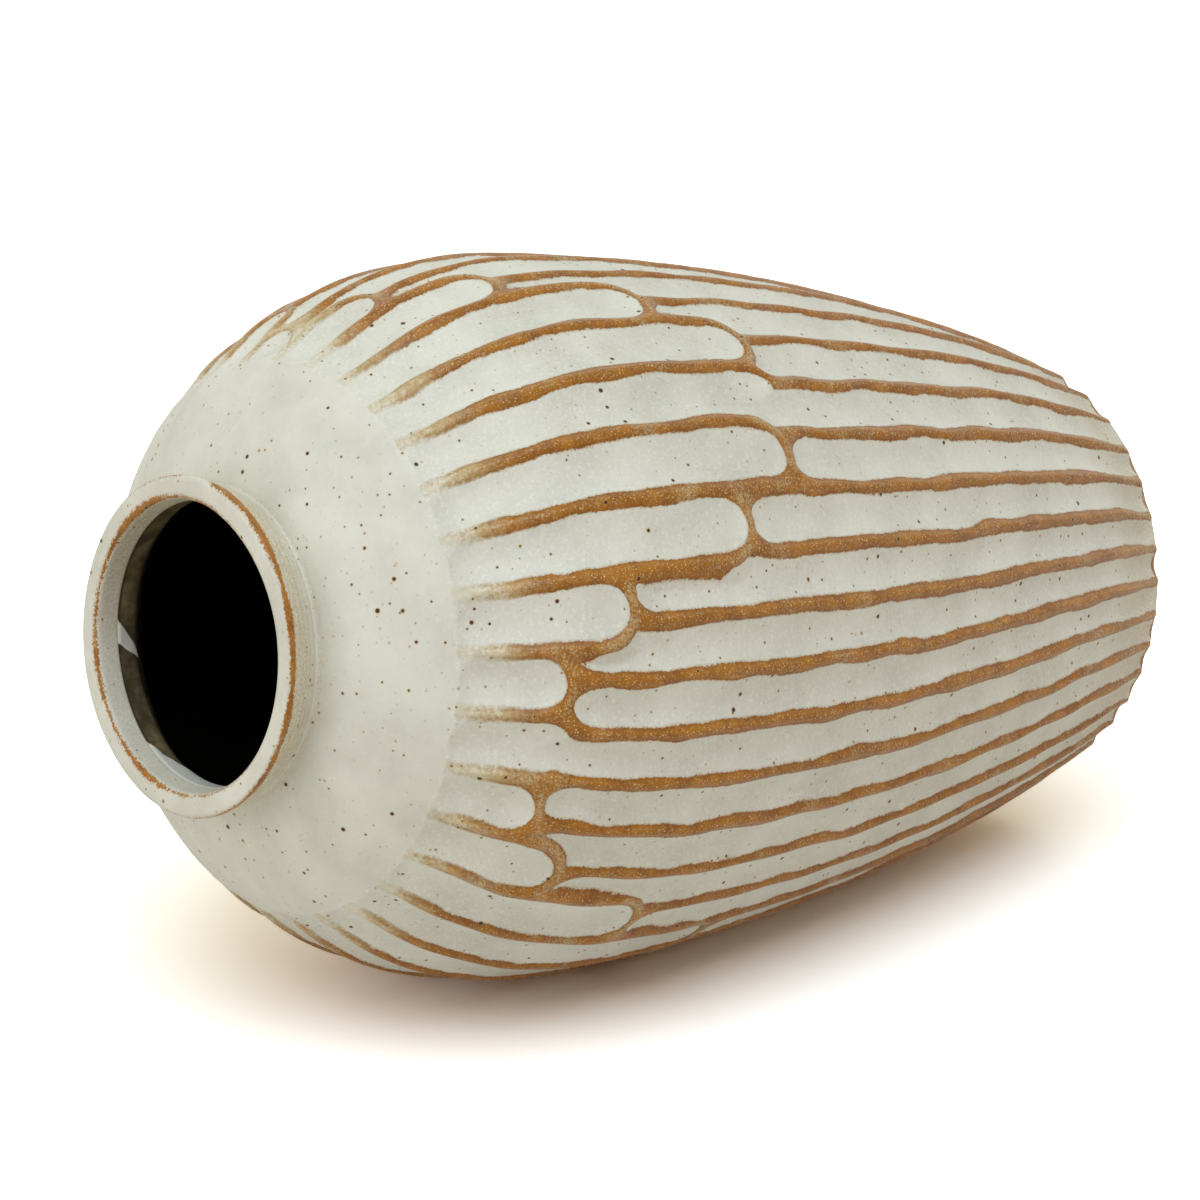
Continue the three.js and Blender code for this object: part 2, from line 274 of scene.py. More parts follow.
class VaseStage(bpy.types.PropertyGroup):
    floor: hex_property("Floor", "White sheet that the vase lies on", "#F6F6F6")
    bounce: hex_property("Bounce", "Light that the sheet throws back on the vase", "#EFECE6")
    overexposure: hex_property("Overexposure", "What the camera sees on top of it", "#D8D8D8")
    horizon: hex_property("Horizon", "Brown of the dim studio round the sheet", "#9A5320")
    ceiling: hex_property("Ceiling", "White of the studio above the sheet", "#FBFFE4")
    key_colour: hex_property("Key colour", "Colour of the overhead light", "#DBE8FF")
    key_strength: number_property("Key strength", "Cool overhead light", 1.65)
    key_spread: number_property(
        "Key spread", "Angle that the overhead light fills", math.radians(50), subtype="ANGLE")
    side_power: number_property(
        "Side power", "Softbox on the side of the mouth", 3.0, unit="POWER")
    ambient: number_property("Ambient", "Light from the white room", 0.79)
    axis_rise: number_property(
        "Axis rise", "Angle of the mouth end above the floor", math.radians(8.0), subtype="ANGLE")
    touching_bearing: number_property(
        "Touching bearing", "Bearing of the side that lies on the floor", math.radians(193.8),
        subtype="ANGLE")


def bezier(start, first, second, end, samples=3000):
    """Points of a cubic curve."""
    t = np.linspace(0, 1, samples)[:, None]
    start, first, second, end = (np.array(p, float) for p in (start, first, second, end))
    return ((1 - t) ** 3 * start + 3 * (1 - t) ** 2 * t * first
            + 3 * (1 - t) * t ** 2 * second + t ** 3 * end)


def run_length(points):
    """Distance along a line of points, at each point."""
    return np.concatenate(([0], np.cumsum(np.linalg.norm(np.diff(points, axis=0), axis=1))))


def smoothstep(value, low, high):
    """0 at low, 1 at high and smooth between them, whichever of the two is greater."""
    t = np.clip((value - low) / (high - low), 0, 1)
    return t * t * (3 - 2 * t)


def waver(bearing, distance, seed, waves, strides, amount):
    """Slow unevenness of hand work: a sum of waves round and along the vase, at most amount."""
    draw = np.random.default_rng(seed)
    total = 0.0
    for wave in waves:
        stride = draw.choice(strides)
        angle = math.tau * distance / stride * draw.choice((-1, 1)) + draw.uniform(0, math.tau)
        total = total + np.sin(np.radians(wave * bearing) + angle)
    return amount * total / len(waves)


class Profile:
    """Half section of the vase's surface as radius and height along its length."""

    def __init__(self, points, rounding):
        points = np.array(points, float)
        length = run_length(points)
        self.at = np.arange(0, length[-1] + PROFILE_STEP, PROFILE_STEP).clip(0, length[-1])
        reach = int(4 * rounding / PROFILE_STEP)
        kernel = np.exp(-0.5 * (np.arange(-reach, reach + 1) * PROFILE_STEP / rounding) ** 2)
        kernel /= kernel.sum()
        # Radius and height at each step of the length
        self.lines = []
        for column in (0, 1):
            line = np.interp(self.at, length, points[:, column])
            # Mirrored ends keep the end points where they are.
            before = 2 * line[0] - line[reach:0:-1]
            after = 2 * line[-1] - line[-2:-reach - 2:-1]
            self.lines.append(np.convolve(np.concatenate((before, line, after)), kernel, "valid"))

    def point(self, s):
        return tuple(np.interp(s, self.at, line) for line in self.lines)

    def normal(self, s):
        """Outward direction as radius and height, for a profile that runs down the outside."""
        step = 2 * PROFILE_STEP
        (r0, z0), (r1, z1) = self.point(s - step), self.point(s + step)
        size = np.hypot(r1 - r0, z1 - z0)
        return -(z1 - z0) / size, (r1 - r0) / size

    def down_at(self, z):
        """Distance along a profile that runs down, at which it has come to a height."""
        return np.interp(-z, -self.lines[1], self.at)


class Strokes:
    """One band of gouge strokes side by side, with a ridge between each and the next."""

    def __init__(self, count, first, drift, drift_bearing, twist):
        even = first + 360 * np.arange(count) / count
        self.left = even + drift * np.cos(np.radians(2 * (even - drift_bearing)))
        self.right = np.append(self.left[1:], self.left[0] + 360)
        self.middle = (self.left + self.right) / 2
        self.count = count
        self.twist = twist
        # Where each stroke starts and ends, and over what length it does so
        self.starts = self.ends = self.start_run = self.end_run = None
        # Strokes that stop those of the other band, and the ends at which the glaze closes over
        self.cuts = np.ones(count, bool)
        self.covered_start = self.covered_end = True

    def at(self, bearing, s, radius, turn):
        """Hollow of the strokes from 0 at the edge to 1, distance in from the nearest edge, the
        same distance for the glaze, distance in from the strokes that stop others, and how far
        before the end of such a stroke a point lies. The ridges are twisted by a share, turn."""
        turned = (bearing - self.twist * turn - self.left[0]) % 360 + self.left[0]
        own = np.searchsorted(self.left, turned, "right") - 1
        hollow, edge, cover, blocked, before_end = (np.full(own.shape, FAR_OUT) for _ in range(5))
        for step in (-1, 0, 1):
            index = (own + step) % self.count
            lap = 360 * ((own + step) // self.count)
            left, right = self.left[index] + lap, self.right[index] + lap
            across = 2 * (turned - left) / (right - left) - 1
            half = radius * np.radians(right - left) / 2
            start_back = 1 - np.minimum((s - self.starts[index]) / self.start_run, 1)
            end_back = 1 - np.minimum((self.ends[index] - s) / self.end_run, 1)
            hollow = np.maximum(hollow, 1 - np.maximum(start_back, end_back) ** 2 - across ** 2)
            # The glaze stays thick where a stroke starts under the dome or runs out at the foot.
            end_back = end_back * self.covered_end
            slope = 2 * end_back / self.end_run
            if self.covered_start:
                slope = np.maximum(slope, 2 * start_back / self.start_run)
                end_back = np.maximum(start_back, end_back)
            steepness = np.maximum(np.hypot(2 * across / half, slope), 1 / half)
            distance = (1 - end_back ** 2 - across ** 2) / steepness
            edge = np.maximum(edge, distance)
            cover = np.maximum(cover, distance * (1 + END_COVER * (slope / steepness) ** 2))
            stops = self.cuts[index] & (distance > blocked)
            before_end = np.where(stops, self.ends[index] - s, before_end)
            blocked = np.where(stops, distance, blocked)
        return hollow, edge, cover, blocked, before_end


class Vase:
    """Surface of the whole vase, as functions of bearing and distance along its profile."""

    def __init__(self, form, carving):
        self.height = form.height / MM
        self.collar_base = self.height - form.collar_height / MM
        self.lip_radius = form.lip_radius / MM
        self.belly_radius = form.belly_radius / MM
        self.carving = carving
        outline = np.vstack((
            bezier((COLLAR_BASE_RADIUS, self.collar_base),
                   (COLLAR_BASE_RADIUS + SHOULDER_REACH, self.collar_base - SHOULDER_DROP),
                   (self.belly_radius, BELLY_HEIGHT + SHOULDER_FULLNESS),
                   (self.belly_radius, BELLY_HEIGHT)),
            bezier((self.belly_radius, BELLY_HEIGHT),
                   (self.belly_radius, BELLY_HEIGHT - FLANK_FULLNESS),
                   (FOOT_RADIUS + ANKLE_FLARE, ANKLE_RISE),
                   (FOOT_RADIUS, 0))[1:],
        ))
        outline = outline[outline[:, 1] > FOOT_BEVEL]
        foot_inner = FOOT_RADIUS - FOOT_RING_WIDTH
        collar = self.collar_points()
        underside = [
            (FOOT_RADIUS - FOOT_BEVEL, 0), (foot_inner + FOOT_BEVEL, 0),
            (foot_inner, FOOT_BEVEL), (foot_inner, FOOT_RECESS),
        ]
        self.outer = Profile(np.vstack((collar, outline, underside)), GLAZE_ROUNDING)
        self.outline_length = run_length(outline)
        self.outline = outline
        self.crease = run_length(np.vstack((collar, outline[:1])))[-1]
        self.lip_inner = THROAT_DEPTH
        self.lip_outer = run_length(np.array(collar))[-2]
        self.flute_start = self.distance_at(self.collar_base - DOME_DROP)
        self.belly = self.distance_at(BELLY_HEIGHT)
        self.foot_seam = self.distance_at(FOOT_SEAM_HEIGHT)
        self.ground = self.crease + self.outline_length[-1]
        self.underside_end = self.ground + run_length(np.vstack((outline[-1:], underside)))[-1]
        self.floor_top = FOOT_RECESS + FLOOR_THICKNESS
        self.floor_edge = self.floor_top + FLOOR_DISH_RISE
        self.inner = Profile(self.inner_points(), LINER_ROUNDING)
        self.floor_start = self.inner.down_at(self.floor_edge + FLOOR_PARTING_RISE)
        # Where the wall's sections part, on the outer and the inner profile
        self.levels = ((self.crease, 0), (self.flute_start, self.inner_at(self.flute_start)),
                       (self.belly, self.inner_at(self.belly)), (self.foot_seam, self.floor_start))
        self.upper, self.lower = self.stroke_bands()

    def collar_points(self):
        """Bore, both corners of the lip and the collar's side, down to the crease."""
        corners = []
        inner, outer = BORE_RADIUS + LIP_ROUNDING, self.lip_radius - LIP_ROUNDING
        for centre, start in ((inner, 180), (outer, 90)):
            for angle in np.radians(np.linspace(start, start - 90, CORNER_POINTS)):
                corners.append((centre + LIP_ROUNDING * math.cos(angle),
                                self.height - LIP_ROUNDING + LIP_ROUNDING * math.sin(angle)))
        middle = ((COLLAR_BASE_RADIUS + self.lip_radius) / 2 + COLLAR_SWELL,
                  (self.collar_base + self.height) / 2)
        return [(THROAT_RADIUS, self.height - THROAT_DEPTH), *corners, middle]

    def inner_points(self):
        """Inside of the vase, from the throat down to the floor."""
        s = np.arange(self.crease + DOME_WALL, self.foot_seam, 1.0)
        wall = np.interp(s, (self.crease + DOME_WALL, self.flute_start), (DOME_WALL, BODY_WALL))
        radius, z = self.outer.point(s)
        normal_r, normal_z = self.outer.normal(s)
        radius, z = radius - normal_r * wall, z - normal_z * wall
        keep = (radius > THROAT_RADIUS + THROAT_FLARE) & (z > self.floor_edge + FLOOR_CORNER_RISE)
        radius, z = radius[keep], z[keep]
        return [(THROAT_RADIUS, self.height - THROAT_DEPTH),
                (THROAT_RADIUS, self.height - THROAT_END),
                *zip(radius, z),
                (radius[-1] - FLOOR_CORNER_RUN, self.floor_edge),
                (radius[-1] - FLOOR_DISH_RUN, self.floor_top),
                (0, self.floor_top)]

    def distance_at(self, z):
        """Distance along the outer profile at which the outline has come down to a height."""
        return self.crease + np.interp(-z, -self.outline[:, 1], self.outline_length)

    def wave(self, bearing):
        """Depth below the lip of the wavy line where the strokes take over."""
        return WAVE_DEPTH + WAVE_SWING * np.cos(np.radians(WAVE_CRESTS * (bearing - WAVE_BEARING)))

    def stroke_bands(self):
        """Gouge strokes of the upper and the lower band."""
        count, lower_count = self.carving.upper_flutes, self.carving.lower_flutes
        end = self.carving.stroke_end / MM
        upper = Strokes(count, UPPER_FIRST_RIDGE, UPPER_DRIFT, UPPER_DRIFT_BEARING, 0.0)
        lower = Strokes(lower_count, LOWER_FIRST_RIDGE, LOWER_DRIFT, LOWER_DRIFT_BEARING,
                        FOOT_TWIST)
        depth = self.wave(upper.middle)
        runs_on = np.isin(np.arange(count), UNSEEN_RUN_ONS)
        for index, seen in enumerate(SEEN_TAKEOVERS, -2):
            runs_on[index] = seen is None
            depth[index] = seen or np.nan
        known = ~np.isnan(depth)
        depth = np.interp(upper.middle, upper.middle[known], depth[known], period=360)
        upper.starts, upper.start_run = np.full(count, self.flute_start - DOME_LAP), DOME_RUN
        upper.covered_start = False
        upper.ends, upper.end_run = self.distance_at(self.height - depth), end
        # A lower stroke starts beside the shortest of the upper strokes that it meets.
        lower.starts, lower.start_run = np.zeros(lower_count), end
        for index, (left, right) in enumerate(zip(lower.left, lower.right)):
            inset = (right - left) * LEAST_MEETING
            met = np.zeros(count, bool)
            for lap in (-360, 0, 360):
                met |= (upper.left + lap < right - inset) & (upper.right + lap > left + inset)
            lower.starts[index] = np.min(upper.ends[met])
        draw = np.random.default_rng(FOOT_SEED)
        lower.ends = self.ground + draw.uniform(*FOOT_RUN_OUT, lower_count)
        lower.end_run = self.carving.stroke_tip / MM
        lower.covered_end = False
        # The lower stroke below a flute without a break starts inside it.
        for middle in upper.middle[runs_on]:
            lower.starts[np.argmin(np.abs(lower.middle - middle))] -= RUN_ON
        upper.ends[runs_on] += RUN_ON_LAP
        upper.cuts = ~runs_on
        return upper, lower

    def inner_at(self, s):
        """Distance along the inner profile, level with a point of the outer one."""
        return self.inner.down_at(self.outer.point(s)[1])

    def carve(self, bearing, s):
        """Depth of the carving, how far in from a stroke's edge a point lies (less than nought is
        on a web or a plain part), and the haze over the webs and the ridges at the foot."""
        radius = self.outer.point(s)[0]
        warped = bearing + waver(bearing, s, *RIDGE_WAVER)
        turn = smoothstep(s, self.distance_at(FOOT_TWIST_FROM), self.ground)
        upper_hollow, _, cover, blocked, before_end = self.upper.at(warped, s, radius, turn)
        lower_hollow, lower_edge, lower_cover, _, _ = self.lower.at(warped, s, radius, turn)
        # The lower strokes stop a web short of the upper ones.
        room = -blocked - self.carving.web / MM
        endwise = 1 - smoothstep(before_end, *WEB_END)
        lower_hollow = np.minimum(lower_hollow, room * WEB_SLOPE)
        lower_cover = np.minimum(lower_cover, room * (1 + END_COVER * endwise))
        hollow = np.maximum(upper_hollow, lower_hollow)
        near_dome = 1 - smoothstep(s - self.flute_start, *NEAR_DOME)
        near_foot = smoothstep(s - self.ground, *NEAR_FOOT)
        edge = np.maximum(cover, lower_cover)
        edge = edge + DOME_NARROWING * near_dome + FOOT_NARROWING * near_foot
        soft = self.carving.crest
        deep = np.hypot(np.maximum(hollow, 0), soft) - soft
        depth = self.carving.depth / MM * deep / (math.hypot(1, soft) - soft)
        # The thick glaze stops short of the ridges, which stand out of it as rounded ribs.
        rise = smoothstep(s - self.flute_start, 0, RIB_RISE)
        depth = depth + RIB_HEIGHT * smoothstep(edge, 0, RIB_HALF) * rise
        depth = depth + RIDGE_DEPTH * (s > self.flute_start)
        near = np.minimum(blocked, np.minimum(lower_edge, room))
        web = smoothstep(near, *WEB_BORDER) * endwise
        return depth, edge, np.maximum(web, FOOT_HAZE * near_foot)

    def surface(self, bearing, s):
        """Points of the glazed outside, in millimetres."""
        radius, z = self.outer.point(s)
        normal_r, normal_z = self.outer.normal(s)
        depth, _, _ = self.carve(bearing, s)
        collar = 1 - smoothstep(s, self.crease - 2, self.crease + 6)
        side = smoothstep(s, self.lip_outer, self.lip_outer + 2)
        rings = RING_HEIGHT * np.sin(math.tau * s / RING_SPACING) * collar * side
        lift = waver(bearing, s, *WALL_WAVER) + rings
        lift = lift - depth * (s > self.flute_start - DOME_LAP)
        return round_axis(bearing, radius + normal_r * lift, z + normal_z * lift)

    def tongue(self, bearing, s):
        """How far above the end of a tongue of cream glaze a point of the throat lies."""
        ragged = waver(bearing, s, *TONGUE_WAVER)
        reach = np.zeros(np.broadcast(bearing, s).shape)
        for middle, half, length in TONGUES:
            off = np.abs((bearing - middle + TONGUE_LEAN * s + 180) % 360 - 180) / half
            reach = np.maximum(reach, length * (1 - off ** TONGUE_BLUNTNESS))
        return reach - s + ragged * (reach > TONGUE_LEAST)

    def inside(self, bearing, s):
        """Points of the inside, in millimetres."""
        radius, z = self.inner.point(s)
        radius = radius + waver(bearing, s, *INSIDE_WAVER) * (radius > THROAT_RADIUS + 1)
        thick = smoothstep(self.tongue(bearing, s), *TONGUE_EDGE) * smoothstep(s, 0, TONGUE_START)
        return round_axis(bearing, radius - TONGUE_LIFT * thick, z)


def round_axis(bearing, radius, z):
    """Points at a bearing round the axis, a radius from it and a height."""
    angle = np.radians(bearing)
    return np.stack(np.broadcast_arrays(radius * np.cos(angle), -radius * np.sin(angle), z), -1)


def rows_between(start, end, step):
    """Evenly spaced distances, a step apart as nearly as they can be."""
    return np.linspace(start, end, max(2, round((end - start) / step) + 1))


def normals_of(surface, bearing, s, sign):
    """Normals of a surface from small steps along it and round it."""
    round_step = np.degrees(NORMAL_STEP / MEAN_RADIUS)
    along = surface(bearing, s + NORMAL_STEP) - surface(bearing, s - NORMAL_STEP)
    around = surface(bearing + round_step, s) - surface(bearing - round_step, s)
    normal = sign * np.cross(along, around)
    return normal / np.maximum(np.linalg.norm(normal, axis=-1, keepdims=True), 1e-9)


def add_piece(name, grids, node, material, marks, closed=True):
    """Mesh of rows of points round the axis, each row joined to the next. A closed piece joins its
    last row to its first, and one that isn't ends in a point on the axis at both ends."""
    points = np.concatenate([grid[0] for grid in grids])
    normals = np.concatenate([grid[1] for grid in grids])
    rows, columns = points.shape[:2]
    count = rows * columns
    index = np.arange(count).reshape(rows, columns)
    after = np.roll(index, -1, axis=1)
    below = np.roll(index, -1, axis=0)
    below_after = np.roll(after, -1, axis=0)
    last = rows if closed else rows - 1
    faces = np.stack((index, after, below_after, below), -1)[:last].reshape(-1, 4).tolist()
    flat = points.reshape(-1, 3)
    flat_normals = normals.reshape(-1, 3)
    if not closed:
        ends = np.array([[0, 0, points[0, 0, 2]], [0, 0, points[-1, 0, 2]]])
        flat = np.vstack((flat, ends))
        flat_normals = np.vstack((flat_normals, normals[0, :1], normals[-1, :1]))
        tops = np.stack((np.full(columns, count), after[0], index[0]), -1)
        bottoms = np.stack((np.full(columns, count + 1), index[-1], after[-1]), -1)
        faces += [*tops.tolist(), *bottoms.tolist()]
    mesh = bpy.data.meshes.new(name)
    mesh.from_pydata((flat * MM).tolist(), [], faces, shade_flat=False)
    if mesh.validate():
        raise RuntimeError(f"{name} has bad faces")
    for mark, values in marks.items():
        layer = mesh.attributes.new(mark, "FLOAT", "POINT")
        whole = np.full(len(flat), UNMARKED, np.float32)
        whole[:values.size] = values.ravel()
        layer.data.foreach_set("value", whole)
    mesh.normals_split_custom_set_from_vertices(flat_normals)
    mesh.materials.append(material)
    piece = bpy.data.objects.new(name, mesh)
    bpy.context.scene.collection.objects.link(piece)
    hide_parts(node)
    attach(piece, "root")
    return piece


def outer_grid(vase, s):
    """Points and normals of the outside over rows at s, with the marks that the glaze reads."""
    bearing, s = np.broadcast_arrays(BEARINGS[None, :], s[:, None])
    _, edge, haze = vase.carve(bearing, s)
    haze = haze + DOME_HAZE * smoothstep(s, vase.crease + DOME_HAZE_REACH, vase.crease)
    # Painted shade: a khaki line in the crease under the collar.
    haze = haze + CREASE_HAZE * np.exp(-(s - vase.crease) ** 2)
    edge = np.where(s > vase.flute_start - DOME_LAP, edge, UNMARKED)
    grid = vase.surface(bearing, s), normals_of(vase.surface, bearing, s, -1)
    return grid, {"edge": edge, "haze": haze}


def inner_grid(vase, s):
    """Points and normals of the inside over rows at s, with the marks that the liner reads."""
    bearing, s = np.broadcast_arrays(BEARINGS[None, :], s[:, None])
    grid = vase.inside(bearing, s), normals_of(vase.inside, bearing, s, 1)
    return grid, {"tongue": vase.tongue(bearing, s), "below_lip": s}


def add_node(tree, kind, inputs=(), output=0, **settings):
    """Adds a node with its settings, sets or links its inputs, which are given in order or by
    their keys, and gives one of its outputs."""
    node = tree.nodes.new("ShaderNode" + kind)
    for key, value in settings.items():
        setattr(node, key, value)
    for key, value in (inputs if isinstance(inputs, dict) else dict(enumerate(inputs))).items():
        if isinstance(value, bpy.types.NodeSocket):
            tree.links.new(value, node.inputs[key])
        else:
            node.inputs[key].default_value = value
    return node.outputs[output] if node.outputs else node


def cells(place, size, **more):
    """Inputs of a texture whose cells are that many millimetres."""
    return {"Vector": place, "Scale": 1000 / size, **more}


def empty_tree(owner):
    """The function that adds nodes to a material's or a world's emptied tree."""
    owner.use_nodes = True
    owner.node_tree.nodes.clear()
    return partial(add_node, owner.node_tree)


def cream_glaze(node, glaze, width, ragged, grainy, rust_rim, snow, ripening):
    """Iron-bearing stoneware under a satin cream glaze, dipped and fired in reduction. Where the
    glaze runs thin over an edge it breaks to ochre with a ragged border and milky spots, and iron
    melts through it everywhere as small dark specks with a stain round them. The ochre is a width
    of millimetres, with a border that is ragged at large, grainy close up and rimmed with rust.
    Snow is how milky the cream is, and the ridges ripen to ochre over two heights."""
    place = node("TexCoord", output="Object")
    height = node("SeparateXYZ", (place,), output="Z")
    edge = node("Attribute", output="Fac", attribute_name="edge")
    # Haze mark: khaki haze, and on the dome painted shade in the crease under the collar.
    haze = node("Attribute", output="Fac", attribute_name="haze")

    grain, cover, salt, clouds, streak = (
        node("TexNoise", cells(place, size, Detail=detail, Roughness=roughness))
        for size, detail, roughness in (GRAIN, COVER, SALT, CLOUDS, STREAKS))

    # Border of the thin glaze: it swells and shrinks along a ridge, and is ragged close up.
    # Each noise has a size and an amount in millimetres.
    border = edge
    for size, detail, amount in ((13, 1, 2.7 * ragged), (3.2, 2, 1.3 * ragged), (0.6, 2, grainy)):
        noise = node("TexNoise", cells(place, size, Detail=detail))
        offset = node("Math", (noise, -0.5), operation="ADD")
        border = node("Math", (offset, amount, border), **TIMES_PLUS)
    # Next to the dome the glaze is still thick and the border soft.
    ripe = node("Math", (cover, RIPE_BY_COVER, height), **TIMES_PLUS)
    ripe = node("Math", (grain, RIPE_BY_GRAIN, ripe), **TIMES_PLUS)
    ripe = node("MapRange", (ripe, *ripening), **SMOOTH)
    outer_border = node("MapRange", {0: ripe, 3: width + 1.4, 4: width + 0.2})
    inner_border = node("MapRange", {0: ripe, 3: width - 1.3, 4: width - 0.2})
    thin = node("MapRange", (border, outer_border, inner_border), **SMOOTH)
    halo = node("MapRange", (border, width + 0.8, width), **SMOOTH)
    rim = node("MapRange", (border, width - 0.9, width - 0.2))
    crest = node("MapRange", (border, width - 0.6, width - 1.5), **SMOOTH)

    # Cream glaze: faint clouds, then a milky grain like wet snow.
    cloud = node("MapRange", (clouds, 0.35, 0.7))
    cream = node("Mix", {0: cloud, 6: glaze.cream, 7: glaze.cream_shade}, **COLOURS)
    milk = node("MapRange", {0: grain, 1: 0.5, 2: 0.72, 4: 0.55})
    # The dome carries no edge mark, and its glaze is smoother.
    carved = node("MapRange", (edge, UNMARKED, UNMARKED - 0.5, 0.3, snow))
    milk = node("Math", (milk, carved), **TIMES)
    cream = node("Mix", {0: milk, 6: cream, 7: glaze.cream_light}, **COLOURS)

    # Thin glaze: rust in streaks and along the border, ochre elsewhere, straw spots on the crest.
    streak = node("MapRange", (streak, 0.36, 0.62, 0.9, 0.0))
    streak = node("Math", (rim, rust_rim, streak), **TIMES_PLUS, use_clamp=True)
    ochre = node("Mix", {0: streak, 6: glaze.ochre, 7: glaze.rust}, **COLOURS)
    patch = node("MapRange", {0: cover, 1: 0.5, 2: 0.76, 4: 0.5}, **SMOOTH)
    veil = node("Math", (haze, 0.5), **TIMES)
    veil = node("Math", (patch, veil), operation="MAXIMUM")
    # Grain by grain, khaki over ochre.
    veil = node("Math", (veil, 0.5, salt), **TIMES_PLUS)
    veil = node("MapRange", {0: veil, 1: 0.56, 2: 0.86, 4: 0.95})
    ochre = node("Mix", {0: veil, 6: ochre, 7: glaze.khaki}, **COLOURS)
    # Straw spots are cells that a finer noise has stirred, fewer and smaller by chance.
    stirred = node("TexNoise", cells(place, STRAW_STIRRING), output="Color")
    stirred = node("VectorMath", (stirred, (STRAW_REACH,) * 3, place), **TIMES_PLUS)
    spots = node("TexVoronoi", cells(stirred, STRAW_SPOTS))
    chance = node("SeparateColor", (spots.node.outputs["Color"],))
    spot = node("MapRange", {0: spots, 1: 0.4, 2: 0.18, 4: 0.85})
    spot = node("Math", (spot, chance), **TIMES)
    spot = node("Math", (spot, crest), **TIMES)
    ochre = node("Mix", {0: spot, 6: ochre, 7: glaze.straw}, **COLOURS)

    # Next to the dome it is khaki, with a painted highlight along the crest.
    young = node("Mix", {0: crest, 6: glaze.young, 7: glaze.young_crest}, **COLOURS)
    ochre = node("Mix", {0: ripe, 6: young, 7: ochre}, **COLOURS)
    part = node("MapRange", {0: ripe, 2: 0.4, 3: 0.3})
    thin = node("Math", (thin, part), **TIMES)
    halo = node("Math", (halo, ripe), **TIMES)

    # Khaki stain, grain by grain, along the ochre and wherever the haze lies, and as painted shade
    # in the crease under the collar.
    stain = node("Math", (halo, haze), operation="MAXIMUM")
    grains = node("MapRange", (salt, 0.38, 0.62, 0.2, 0.75))
    stain = node("Math", (stain, grains), **TIMES)
    colour = node("Mix", {0: stain, 6: cream, 7: glaze.khaki}, **COLOURS)
    colour = node("Mix", {0: thin, 6: colour, 7: ochre}, **COLOURS)

    # Iron specks: some of up to 1 mm, nearly black, and more of about 0.3 mm, brown.
    pits = None
    for cell, least, spread, tone, stained in SPECKS:
        speck = node("TexVoronoi", cells(place, cell))
        chance = node("SeparateColor", (speck.node.outputs["Color"],))
        size = node("Math", (chance, 3.0), operation="POWER")
        size = node("Math", (size, spread, least), **TIMES_PLUS)
        near = node("Math", (speck, cell), **TIMES)
        near = node("Math", (near, size), operation="SUBTRACT")
        ring = node("MapRange", {0: near, 1: 0.26, 2: 0.0, 4: stained})
        dot = node("MapRange", (near, 0.05, -0.07))
        colour = node("Mix", {0: ring, 6: colour, 7: glaze.speck_halo}, **COLOURS)
        colour = node("Mix", {0: dot, 6: colour, 7: getattr(glaze, tone)}, **COLOURS)
        pits = dot if pits is None else pits

    # Relief: fine orange peel, pits at the specks, and a step where the thick glaze ends.
    relief = node("Math", (grain, 0.06), **TIMES)
    relief = node("Math", (pits, -0.12, relief), **TIMES_PLUS)
    relief = node("Math", (halo, -0.14, relief), **TIMES_PLUS)
    relief = node("Math", (spot, 0.03, relief), **TIMES_PLUS)
    bump = node("Bump", {"Height": relief, "Distance": MM, "Strength": 0.8})
    rough = node("MapRange", (grain, 0.3, 0.7, 0.42, 0.52))
    rough = node("Math", (thin, -0.15, rough), **TIMES_PLUS)
    return node("BsdfPrincipled",
                {"Base Color": colour, "Roughness": rough, "Normal": bump, "IOR": 1.5,
                 "Specular IOR Level": 0.32})


def liner_glaze(node, glaze):
    """Thin olive liner glaze, poured in and out again. It is glossy and dark, with painted shade
    that turns it near black deeper inside and a painted shade line at the step where it meets the
    cream glaze of the lip, which has run down over it in a few milky tongues."""
    place = node("TexCoord", output="Object")
    tongue = node("Attribute", output="Fac", attribute_name="tongue")
    below = node("Attribute", output="Fac", attribute_name="below_lip")
    clouds = node("TexNoise", cells(place, LINER_CLOUDS, Detail=4, Roughness=0.65))
    tone = node("MapRange", {0: clouds, 1: 0.4, 2: 0.7, 4: 0.4})
    liner = node("Mix", {0: tone, 6: glaze.inside, 7: glaze.khaki}, **COLOURS)
    # Painted shade: from 7 to 13 mm in from the throat's top the liner turns near black.
    deep = node("MapRange", (below, 7.0, 13.0))
    liner = node("Mix", {0: deep, 6: liner, 7: glaze.inside_deep}, **COLOURS)
    # Painted shade: a dark line in the step where the throat starts below the bore.
    line = node("MapRange", {0: below, 1: 0.9, 2: 0.3, 4: 0.8})
    liner = node("Mix", {0: line, 6: liner, 7: glaze.iron}, **COLOURS)
    run = node("MapRange", (tongue, -0.15, 0.2), **SMOOTH)
    colour = node("Mix", {0: run, 6: liner, 7: glaze.cream_shade}, **COLOURS)
    relief = node("Math", (clouds, 0.15), **TIMES)
    bump = node("Bump", {"Height": relief, "Distance": MM, "Strength": 0.6})
    return node("BsdfPrincipled",
                {"Base Color": colour, "Roughness": 0.3, "Normal": bump, "IOR": 1.5})


def toasted_clay(node, glaze):
    """Bare stoneware, wiped clean of glaze and toasted by the kiln: dry, sandy and a little darker
    in patches, with pale grog of about a millimetre."""
    place = node("TexCoord", output="Object")
    toast = node("TexNoise", cells(place, TOAST, Detail=3, Roughness=0.6))
    toast = node("MapRange", (toast, 0.4, 0.65))
    colour = node("Mix", {0: toast, 6: glaze.clay, 7: glaze.toasted}, **COLOURS)
    grog = node("TexVoronoi", cells(place, GROG))
    grit = node("MapRange", {0: grog, 1: 0.45, 2: 0.15, 4: 0.6})
    colour = node("Mix", {0: grit, 6: colour, 7: glaze.straw}, **COLOURS)
    bump = node("Bump", {"Height": grog, "Distance": 0.3 * MM, "Strength": 0.7})
    return node("BsdfPrincipled",
                {"Base Color": colour, "Roughness": 0.88, "Normal": bump, "IOR": 1.5})


